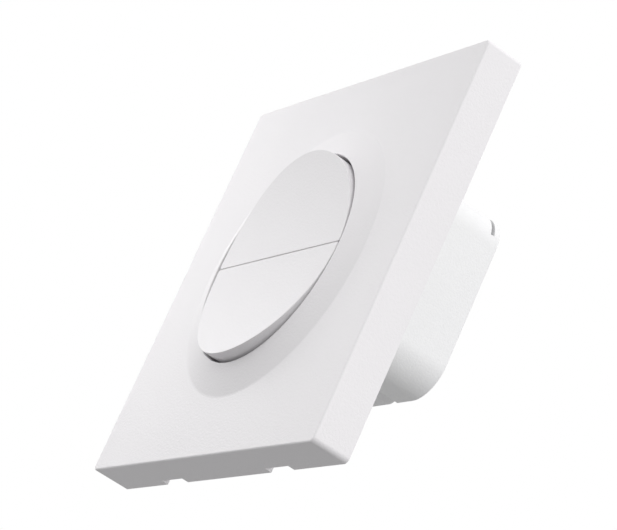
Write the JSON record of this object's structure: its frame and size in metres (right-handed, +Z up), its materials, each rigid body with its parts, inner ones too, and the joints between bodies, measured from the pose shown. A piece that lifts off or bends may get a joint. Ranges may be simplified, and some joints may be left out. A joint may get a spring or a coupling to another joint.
{
  "type": "wireless remote wall switch",
  "caption": "Square wall switch with half-round rocker buttons in a raised collar, a mounting frame and a deep in-wall module with radio receiver.",
  "frame": {"origin": "centre of the wall plane, on the back of the mounting frame, midway between the wall screw slots", "axes": "+Z up, +X to the right for someone who faces the switch, +Y into the wall; the buttons look along -Y"},
  "size_m": [0.086, 0.0329, 0.086],
  "materials": {
    "plate_plastic": "fine moulded texture",
    "button_plastic": "fine moulded texture",
    "carrier_plastic": "plain moulded",
    "pin_steel": "drawn wire",
    "spring_steel": "spring strip",
    "screw_steel": "zinc plated",
    "frame_plastic": "plain moulded",
    "housing_plastic": "fine moulded texture",
    "board_laminate": "solder mask",
    "radio_laminate": "solder mask",
    "tin_plate": "tinned",
    "antenna_wire": "enamelled copper",
    "header_plastic": "moulded",
    "tact_plastic": "moulded",
    "plunger_plastic": "moulded",
    "relay_plastic": "moulded case",
    "terminal_plastic": "moulded",
    "clamp_brass": "stamped",
    "transformer_core": "ferrite and tape",
    "capacitor_sleeve": "shrink sleeve",
    "fuse_glass": "glass with metal caps",
    "varistor_coating": "dipped coating"
  },
  "bodies": {
    "base": {"faceplate": "plate_plastic", "button_carrier": "carrier_plastic", "upper_pivot_pin": "pin_steel", "lower_pivot_pin": "pin_steel", "upper_return_spring": "spring_steel", "lower_return_spring": "spring_steel", "carrier_screws": "screw_steel", "housing_screws": "screw_steel", "switch_board_screws": "screw_steel", "power_board_screws": "screw_steel", "mounting_frame": "frame_plastic", "housing": "housing_plastic", "rear_cover": "housing_plastic", "switch_board": "board_laminate", "power_board": "board_laminate", "radio_module": "radio_laminate", "radio_shield": "tin_plate", "antenna": "antenna_wire", "board_header": "header_plastic", "upper_tact_switch": "tact_plastic", "lower_tact_switch": "tact_plastic", "left_relay": "relay_plastic", "right_relay": "relay_plastic", "terminal_block": "terminal_plastic", "terminal_clamps": "clamp_brass", "terminal_screws": "screw_steel", "transformer": "transformer_core", "filter_capacitor": "capacitor_sleeve", "fuse": "fuse_glass", "varistor": "varistor_coating"},
    "upper_rocker": {"upper_button": "button_plastic"},
    "lower_rocker": {"lower_button": "button_plastic"},
    "upper_press": {"upper_plunger": "plunger_plastic"},
    "lower_press": {"lower_plunger": "plunger_plastic"}
  },
  "joints": [
    {"name": "upper_button_hinge", "type": "hinge", "parent": "base", "child": "upper_rocker", "pos_m": [0, -0.0066, 0.0032], "axis": [-1, 0, 0], "range_deg": [0, 2.5], "stiffness_Nm_per_rad": 0.4, "springref_deg": -1.72, "deforming": ["upper_return_spring"]},
    {"name": "lower_button_hinge", "type": "hinge", "parent": "base", "child": "lower_rocker", "pos_m": [0, -0.0066, -0.0032], "axis": [1, 0, 0], "range_deg": [0, 2.5], "stiffness_Nm_per_rad": 0.4, "springref_deg": -1.72, "deforming": ["lower_return_spring"]},
    {"name": "upper_plunger_slide", "type": "slide", "parent": "base", "child": "upper_press", "axis": [0, 1, 0], "range_m": [0, 0.0003]},
    {"name": "lower_plunger_slide", "type": "slide", "parent": "base", "child": "lower_press", "axis": [0, 1, 0], "range_m": [0, 0.0003]}
  ],
  "couplings": [
    {"joint": "upper_plunger_slide", "follows": "upper_button_hinge", "m_per_rad": 0.0068},
    {"joint": "lower_plunger_slide", "follows": "lower_button_hinge", "m_per_rad": 0.0068}
  ]
}
